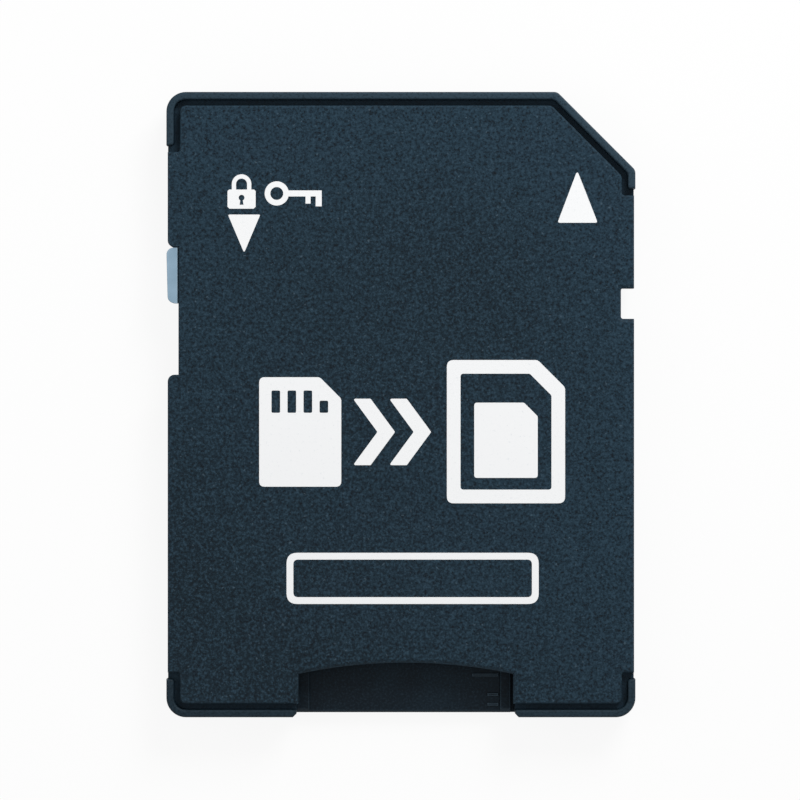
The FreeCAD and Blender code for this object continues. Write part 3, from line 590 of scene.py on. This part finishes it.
AMBIENT = 0.36
FLOOR_HALF = 900 * MM
FLOOR_LEVEL = -0.006 * MM
FLOOR_CORNERS = ((-1, -1), (1, -1), (1, 1), (-1, 1))
GLOW_SHARE = 0.9  # how much of the seen floor is plain white, and not the shadowed paper


def white_where_seen(tree, plain, white):
    """A shader that is white to the camera and in reflections, and plain to light."""
    path = tree.nodes.new("ShaderNodeLightPath")
    seen = path.outputs["Is Camera Ray"]
    for ray in ("Is Glossy Ray", "Is Transmission Ray"):
        total = tree.nodes.new("ShaderNodeMath")
        total.operation = "ADD"
        total.use_clamp = True
        tree.links.new(seen, total.inputs[0])
        tree.links.new(path.outputs[ray], total.inputs[1])
        seen = total.outputs[0]
    mixed = tree.nodes.new("ShaderNodeMixShader")
    tree.links.new(seen, mixed.inputs[0])
    tree.links.new(plain, mixed.inputs[1])
    tree.links.new(white, mixed.inputs[2])
    return mixed.outputs[0]


world = bpy.data.worlds.new("studio")
scene.world = world
world.use_nodes = True
sky = world.node_tree
plain_sky = sky.nodes["Background"]
white_sky = sky.nodes.new("ShaderNodeBackground")
for background, strength in ((plain_sky, AMBIENT), (white_sky, 1.0)):
    background.inputs["Color"].default_value = WHITE
    background.inputs["Strength"].default_value = strength
sky.links.new(
    white_where_seen(sky, plain_sky.outputs[0], white_sky.outputs[0]),
    sky.nodes["World Output"].inputs["Surface"],
)

floor_mesh = bpy.data.meshes.new("floor")
floor_mesh.from_pydata(
    [(x * FLOOR_HALF, y * FLOOR_HALF, FLOOR_LEVEL) for x, y in FLOOR_CORNERS],
    [],
    [(0, 1, 2, 3)],
)
floor = bpy.data.objects.new("floor", floor_mesh)
scene.collection.objects.link(floor)
paper = bpy.data.materials.new("floor_paper")
paper.use_nodes = True
paper_tree = paper.node_tree
paper_shader = paper_tree.nodes["Principled BSDF"]
paper_shader.inputs["Base Color"].default_value = PAPER
paper_shader.inputs["Roughness"].default_value = 0.9
paper_shader.inputs["Specular IOR Level"].default_value = 0.1
glow = paper_tree.nodes.new("ShaderNodeEmission")
glow.inputs["Color"].default_value = WHITE
glow.inputs["Strength"].default_value = 1.0
seen_paper = paper_tree.nodes.new("ShaderNodeMixShader")
seen_paper.inputs[0].default_value = GLOW_SHARE
paper_tree.links.new(paper_shader.outputs[0], seen_paper.inputs[1])
paper_tree.links.new(glow.outputs[0], seen_paper.inputs[2])
paper_tree.links.new(
    white_where_seen(paper_tree, paper_shader.outputs[0], seen_paper.outputs[0]),
    paper_tree.nodes["Material Output"].inputs["Surface"],
)
floor_mesh.materials.append(paper)


# Camera: straight above the label side, at the photograph's scale and framing

PHOTO_PIXELS = 800
PIXELS_PER_MM = 19.55
LENS = 240.0
SENSOR = 36.0
CAMERA_X = -0.046 * MM
CAMERA_Y = 0.235 * MM
CAMERA_HEIGHT = PHOTO_PIXELS / PIXELS_PER_MM * MM * LENS / SENSOR

camera_data = bpy.data.cameras.new("camera")
camera_data.lens = LENS
camera_data.sensor_width = SENSOR
camera_data.clip_start = 1 * MM
camera_data.clip_end = 10000 * MM
camera = bpy.data.objects.new("camera", camera_data)
camera.location = (CAMERA_X, CAMERA_Y, FACE + CAMERA_HEIGHT)
scene.collection.objects.link(camera)
scene.camera = camera


# Light: places and sizes in millimetres, powers in watts

def soft_lamp(name, place, size, power):
    """A square lamp that looks at the origin."""
    data = bpy.data.lights.new(name, "AREA")
    data.size = size * MM
    data.energy = power
    lamp = bpy.data.objects.new(name, data)
    lamp.location = Vector(place) * MM
    lamp.rotation_euler = (-lamp.location).to_track_quat("-Z", "Y").to_euler()
    scene.collection.objects.link(lamp)


soft_lamp("key_lamp", place=(80, 150, 118), size=100, power=0.37)
soft_lamp("side_lamp", place=(-120, 10, 90), size=80, power=0.035)
soft_lamp("tail_lamp", place=(20, -120, 100), size=80, power=0.014)
